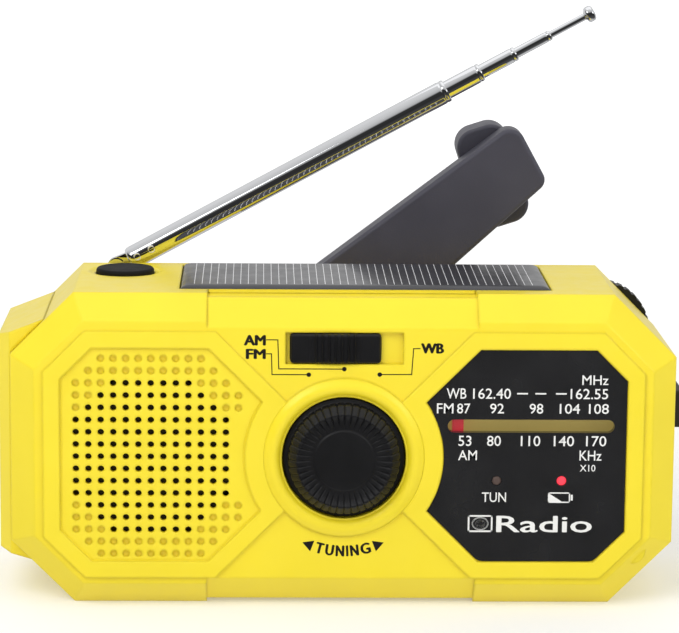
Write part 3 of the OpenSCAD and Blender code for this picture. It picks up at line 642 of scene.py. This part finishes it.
def face_print():
    bm = bmesh.new()
    y = face_y - 0.025
    bold(bm, "AM", -24.2, -18.9, 64.9, 67.3, y)
    bold(bm, "FM", -23.7, -18.9, 61.6, 63.9, y)
    bold(bm, "WB", 18.2, 23.75, 63.1, 65.45, y)
    # a line leads from each letter pair to its dot under the band switch
    for line in ([(-18.7, 66.2), (-16.05, 66.2), (-15.8, 59.15), (-0.1, 59.15)],
                 [(-18.7, 62.8), (-17.55, 62.8), (-17.4, 57.75), (-8.6, 57.75)],
                 [(17.95, 64.25), (16.45, 64.2), (16.05, 57.9), (8.4, 57.85)]):
        stroke(bm, line, 0.24, y)
        dot_x, dot_z = line[-1]
        turns = [k * math.pi / 8 for k in range(16)]
        plate(bm, [(dot_x + 0.55 * math.cos(a), dot_z + 0.55 * math.sin(a)) for a in turns], y - 0.004)
    tuning_word(bm, y)
    bmesh.ops.recalc_face_normals(bm, faces=bm.faces)
    add_mesh("face_print", bm, black_ink, "casing", smooth=0)


dial_print()
face_print()

# ---------------------------------------------------------------- solar panel

panel_lo, panel_hi = lo_hi("solar_cover")
PANEL_ROLL = 2.4        # width of the panel's rolled edge, mm
PANEL_RISE = 1.3        # height of the rolled edge, mm


def panel_ring(bm, inset, z):
    """One level of the panel: a rectangle with rounded corners."""
    r = 0.5 + 0.2 * inset
    x0, x1 = panel_lo.x + inset + r, panel_hi.x - inset - r
    y0, y1 = panel_lo.y + inset + r, panel_hi.y - inset - r
    ring = []
    for x, y, first in ((x1, y1, 0), (x0, y1, 90), (x0, y0, 180), (x1, y0, 270)):
        for k in range(5):
            a = math.radians(first + 90 * k / 4)
            ring.append(bm.verts.new(Vector((x + r * math.cos(a), y + r * math.sin(a), z)) * MM))
    return ring


def solar_window():
    bm = bmesh.new()
    rings = [panel_ring(bm, 0.0, panel_lo.z)]
    for k in range(9):
        a = math.pi / 2 * k / 8
        inset, drop = PANEL_ROLL * (1 - math.cos(a)), PANEL_RISE * (1 - math.sin(a))
        rings.append(panel_ring(bm, inset, panel_hi.z - drop))
    join_rings(bm, rings)
    bm.faces.new(rings[-1])
    bm.faces.new(rings[0][::-1])
    bmesh.ops.recalc_face_normals(bm, faces=bm.faces)
    stand_for("solar_cover", "solar_window", bm, 30)


def solar_lines():
    """The cells' fine conductor lines, just proud of the panel."""
    bm = bmesh.new()
    pitch, half_width = 1.87, 0.07
    x = panel_lo.x + PANEL_ROLL + 1.0
    y0, y1 = panel_lo.y + PANEL_ROLL + 0.3, panel_hi.y - PANEL_ROLL - 0.3
    while x < panel_hi.x - PANEL_ROLL - 0.6:
        box(bm, (x - half_width, y0, panel_hi.z - 0.05), (x + half_width, y1, panel_hi.z + 0.03))
        x += pitch
    add_mesh("solar_lines", bm, cell_line, "casing", smooth=0)


solar_window()
solar_lines()

# ---------------------------------------------------------------- antenna

pivot = Vector(joint["antenna_tilt"]["pos_m"]) / MM
aim = Vector(joint["antenna_slide_2"]["axis"]).normalized()
to_front = Vector((0, -1, 0))
TUBE_1_R = 3.0


def along(node):
    """Where a CAD node starts and ends along the antenna, in mm from the tilt pin."""
    places = [((nodes[node].matrix_world @ v.co) / MM - pivot).dot(aim) for v in nodes[node].data.vertices]
    return min(places), max(places)


def whip_tube(name, node, r, bore):
    """One sliding tube, with a rolled bead near its open end."""
    start, end = along(node)
    profile = [
        (0, start), (r - 0.25, start), (r, start + 0.25), (r, end - 1.5), (r - 0.05, end - 1.2),
        (r - 0.12, end - 1.05), (r - 0.03, end - 0.85), (r, end - 0.7), (r - 0.03, end - 0.35),
        (r - 0.12, end - 0.12), (r - 0.27, end), (bore, end), (bore - 0.01, end - 0.5), (0, end - 0.5),
    ]
    bm = bmesh.new()
    lathe(bm, profile, pivot, aim, 48)
    stand_for(node, name, bm, 50)


def whip_tip():
    """The thin rod with its button end."""
    start, end = along("antenna_rod")
    profile = [
        (0, start), (0.85, start), (0.95, start + 0.1), (0.95, end - 2.8), (1.0, end - 2.7),
        (1.25, end - 2.5), (1.9, end - 2.2), (2.08, end - 1.9), (2.1, end - 1.6), (2.1, end - 0.9),
        (2.0, end - 0.5), (1.7, end - 0.2), (1.2, end - 0.03), (0, end),
    ]
    bm = bmesh.new()
    lathe(bm, profile, pivot, aim, 40)
    stand_for("antenna_rod", "whip_tip", bm, 50)


def whip_1():
    """The widest tube, with a rounded foot where it is crimped."""
    r = TUBE_1_R
    end = along("antenna_tube_1")[1]
    profile = [
        (0, 4.0), (1.2, 3.9), (2.0, 3.62), (2.6, 3.75), (2.95, 4.3), (r, 5.2), (r, end - 1.7),
        (r - 0.06, end - 1.4), (r - 0.14, end - 1.2), (r - 0.05, end - 0.95), (r, end - 0.75),
        (r - 0.03, end - 0.35), (r - 0.13, end - 0.1), (r - 0.28, end), (2.52, end), (2.5, end - 0.5),
        (0, end - 0.5),
    ]
    bm = bmesh.new()
    lathe(bm, profile, pivot, aim, 72)
    stand_for("antenna_tube_1", "whip_1", bm, 50)


def whip_tongue():
    """The flat tongue that the widest tube is crimped on, round about the tilt pin."""
    end_r, half_thick, steps = 2.35, 1.15, 16
    up = aim.cross(to_front).normalized()
    turns = [math.pi / 2 + math.pi * k / steps for k in range(steps + 1)]
    shape = [(end_r * math.cos(a), end_r * math.sin(a)) for a in turns] + [(4.2, -1.9), (4.2, 1.9)]
    bm = bmesh.new()
    front, back = [
        [bm.verts.new((pivot + aim * u + up * w + to_front * depth) * MM) for u, w in shape]
        for depth in (half_thick, -half_thick)
    ]
    bm.faces.new(front)
    bm.faces.new(back[::-1])
    join_rings(bm, [front, back])
    bmesh.ops.recalc_face_normals(bm, faces=bm.faces)
    add_mesh("whip_tongue", bm, chrome, body_of["antenna_tube_1"], 40)


def whip_crimps():
    """Two dimpled crimps that hold the tongue, in a paler metal than the chrome: a painted highlight."""
    bm = bmesh.new()
    profile = [
        (0, -0.5), (1.05, -0.5), (1.1, 0.0), (0.98, 0.2), (0.75, 0.26), (0.5, 0.12), (0.3, -0.1), (0, -0.16),
    ]
    for distance in (6.1, 10.2):
        lathe(bm, profile, pivot + aim * distance + to_front * (TUBE_1_R - 0.25), to_front, 28)
    add_mesh("whip_crimps", bm, crimp_painted_highlight, body_of["antenna_tube_1"], 50)


for number, r, bore in ((2, 2.4, 2.02), (3, 1.9, 1.52), (4, 1.4, 1.08)):
    whip_tube(f"whip_{number}", f"antenna_tube_{number}", r, bore)
whip_tip()
whip_1()
whip_tongue()
whip_crimps()

# ---------------------------------------------------------------- lamps on the dial


def led(name, node, mat):
    """A round lamp with a domed front."""
    low, high = lo_hi(node)
    middle = (low + high) / 2
    r, length, dome = (high.x - low.x) / 2, high.y - low.y, 0.35
    profile = [(0, 0), (r, 0)]
    for k in range(6):
        a = k * math.pi / 12
        profile.append((r * math.cos(a), length - dome + dome * math.sin(a)))
    profile.append((0, length))
    bm = bmesh.new()
    lathe(bm, profile, (middle.x, high.y, middle.z), (0, -1, 0), 32)
    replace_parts(add_mesh(name, bm, mat, "casing"), node)


led("tune_led", "tuning_lamp", tinted)
led("charge_led", "charge_lamp", lamp_red)

# ---------------------------------------------------------------- floor


def add_floor():
    """A pale floor that grows brighter away from the radio, so that it fades into the background."""
    bm = bmesh.new()
    bmesh.ops.create_grid(bm, x_segments=2, y_segments=2, size=8.0)
    mesh = bpy.data.meshes.new("floor")
    bm.to_mesh(mesh)
    bm.free()
    floor = bpy.data.objects.new("floor", mesh)
    bpy.context.scene.collection.objects.link(floor)
    mat = bpy.data.materials.new("floor_white")
    mat.use_nodes = True
    tree = mat.node_tree
    shader = tree.nodes["Principled BSDF"]
    shader.inputs["Base Color"].default_value = (0.72, 0.72, 0.72, 1)
    shader.inputs["Roughness"].default_value = 0.85
    shader.inputs["Specular IOR Level"].default_value = 0.2
    shader.inputs["Emission Color"].default_value = (1, 1, 1, 1)
    coords = tree.nodes.new("ShaderNodeTexCoord")
    distance = tree.nodes.new("ShaderNodeVectorMath")
    distance.operation = "LENGTH"
    tree.links.new(coords.outputs["Object"], distance.inputs[0])
    brightness = map_range(tree, distance.outputs["Value"], 0.15, 1.4, 0.26, 0.85)
    tree.links.new(brightness, shader.inputs["Emission Strength"])
    mesh.materials.append(mat)
    floor.visible_glossy = False


add_floor()

# ---------------------------------------------------------------- studio light


def sky(tree, height, stops):
    """Brightness by height. stops are (the direction's Z from -1 to 1, brightness)."""
    ramp = tree.nodes.new("ShaderNodeValToRGB")
    elements = ramp.color_ramp.elements
    for z, v in stops[1:-1]:
        elements.new((z + 1) / 2).color = (v, v, v, 1)
    for element, (z, v) in ((elements[0], stops[0]), (elements[-1], stops[-1])):
        element.position = (z + 1) / 2
        element.color = (v, v, v, 1)
    tree.links.new(height, ramp.inputs["Fac"])
    return ramp.outputs["Color"]


def add_world():
    """A dim sky in front, which keeps the chrome's contrast, and a bright one behind the radio."""
    world = bpy.data.worlds.new("studio")
    bpy.context.scene.world = world
    world.use_nodes = True
    tree = world.node_tree
    coords = tree.nodes.new("ShaderNodeTexCoord")
    direction = tree.nodes.new("ShaderNodeSeparateXYZ")
    tree.links.new(coords.outputs["Generated"], direction.inputs["Vector"])
    height = map_range(tree, direction.outputs["Z"], -1.0, 1.0)
    front = sky(tree, height, [(-1.0, 0.8), (-0.85, 0.7), (-0.75, 0.10), (-0.1, 0.035), (0.34, 0.045),
                               (0.5, 0.62), (0.75, 0.8), (1.0, 1.0)])
    back = sky(tree, height, [(-1.0, 0.8), (-0.5, 0.7), (0.0, 0.9), (1.0, 1.0)])
    blend = tree.nodes.new("ShaderNodeMix")
    blend.data_type = "RGBA"
    tree.links.new(map_range(tree, direction.outputs["Y"], -0.1, 0.35), blend.inputs["Factor"])
    tree.links.new(front, blend.inputs["A"])
    tree.links.new(back, blend.inputs["B"])
    background = tree.nodes["Background"]
    tree.links.new(blend.outputs["Result"], background.inputs["Color"])
    background.inputs["Strength"].default_value = 0.75


def area(name, where, aim_at, size, power):
    data = bpy.data.lights.new(name, "AREA")
    data.energy = power
    data.size = size
    light = bpy.data.objects.new(name, data)
    bpy.context.scene.collection.objects.link(light)
    light.location = where
    light.rotation_euler = (Vector(aim_at) - Vector(where)).to_track_quat("-Z", "Y").to_euler()
    return light


add_world()
area("key", (-0.55, -0.75, 0.95), (0, 0, 0.04), 0.8, 8.6).visible_glossy = False
area("fill", (0.9, -0.7, 0.45), (0, 0, 0.04), 0.8, 4.0).visible_glossy = False
area("top", (0.0, 0.1, 1.0), (0, 0, 0.05), 0.9, 0.8)
area("front", (0.0, -1.3, 0.35), (0, 0, 0.05), 0.9, 2.4).visible_glossy = False
area("glint_left", (-0.75, -0.85, 0.75), (0, 0, 0.04), 0.45, 1.6).visible_diffuse = False
area("glint_right", (0.95, -0.6, 0.6), (0, 0, 0.04), 0.4, 1.1).visible_diffuse = False
bpy.context.scene.view_settings.view_transform = "Standard"
bpy.context.scene.view_settings.look = "None"

# ---------------------------------------------------------------- camera

camera_data = bpy.data.cameras.new("camera")
camera_data.sensor_width = 36.0
camera_data.lens = 159.3
camera_data.clip_end = 100
camera = bpy.data.objects.new("camera", camera_data)
bpy.context.scene.collection.objects.link(camera)
camera.location = (-0.0207, -0.7319, 0.19892)
camera.rotation_euler = [math.radians(a) for a in (79.799, -0.534, -1.473)]
bpy.context.scene.camera = camera
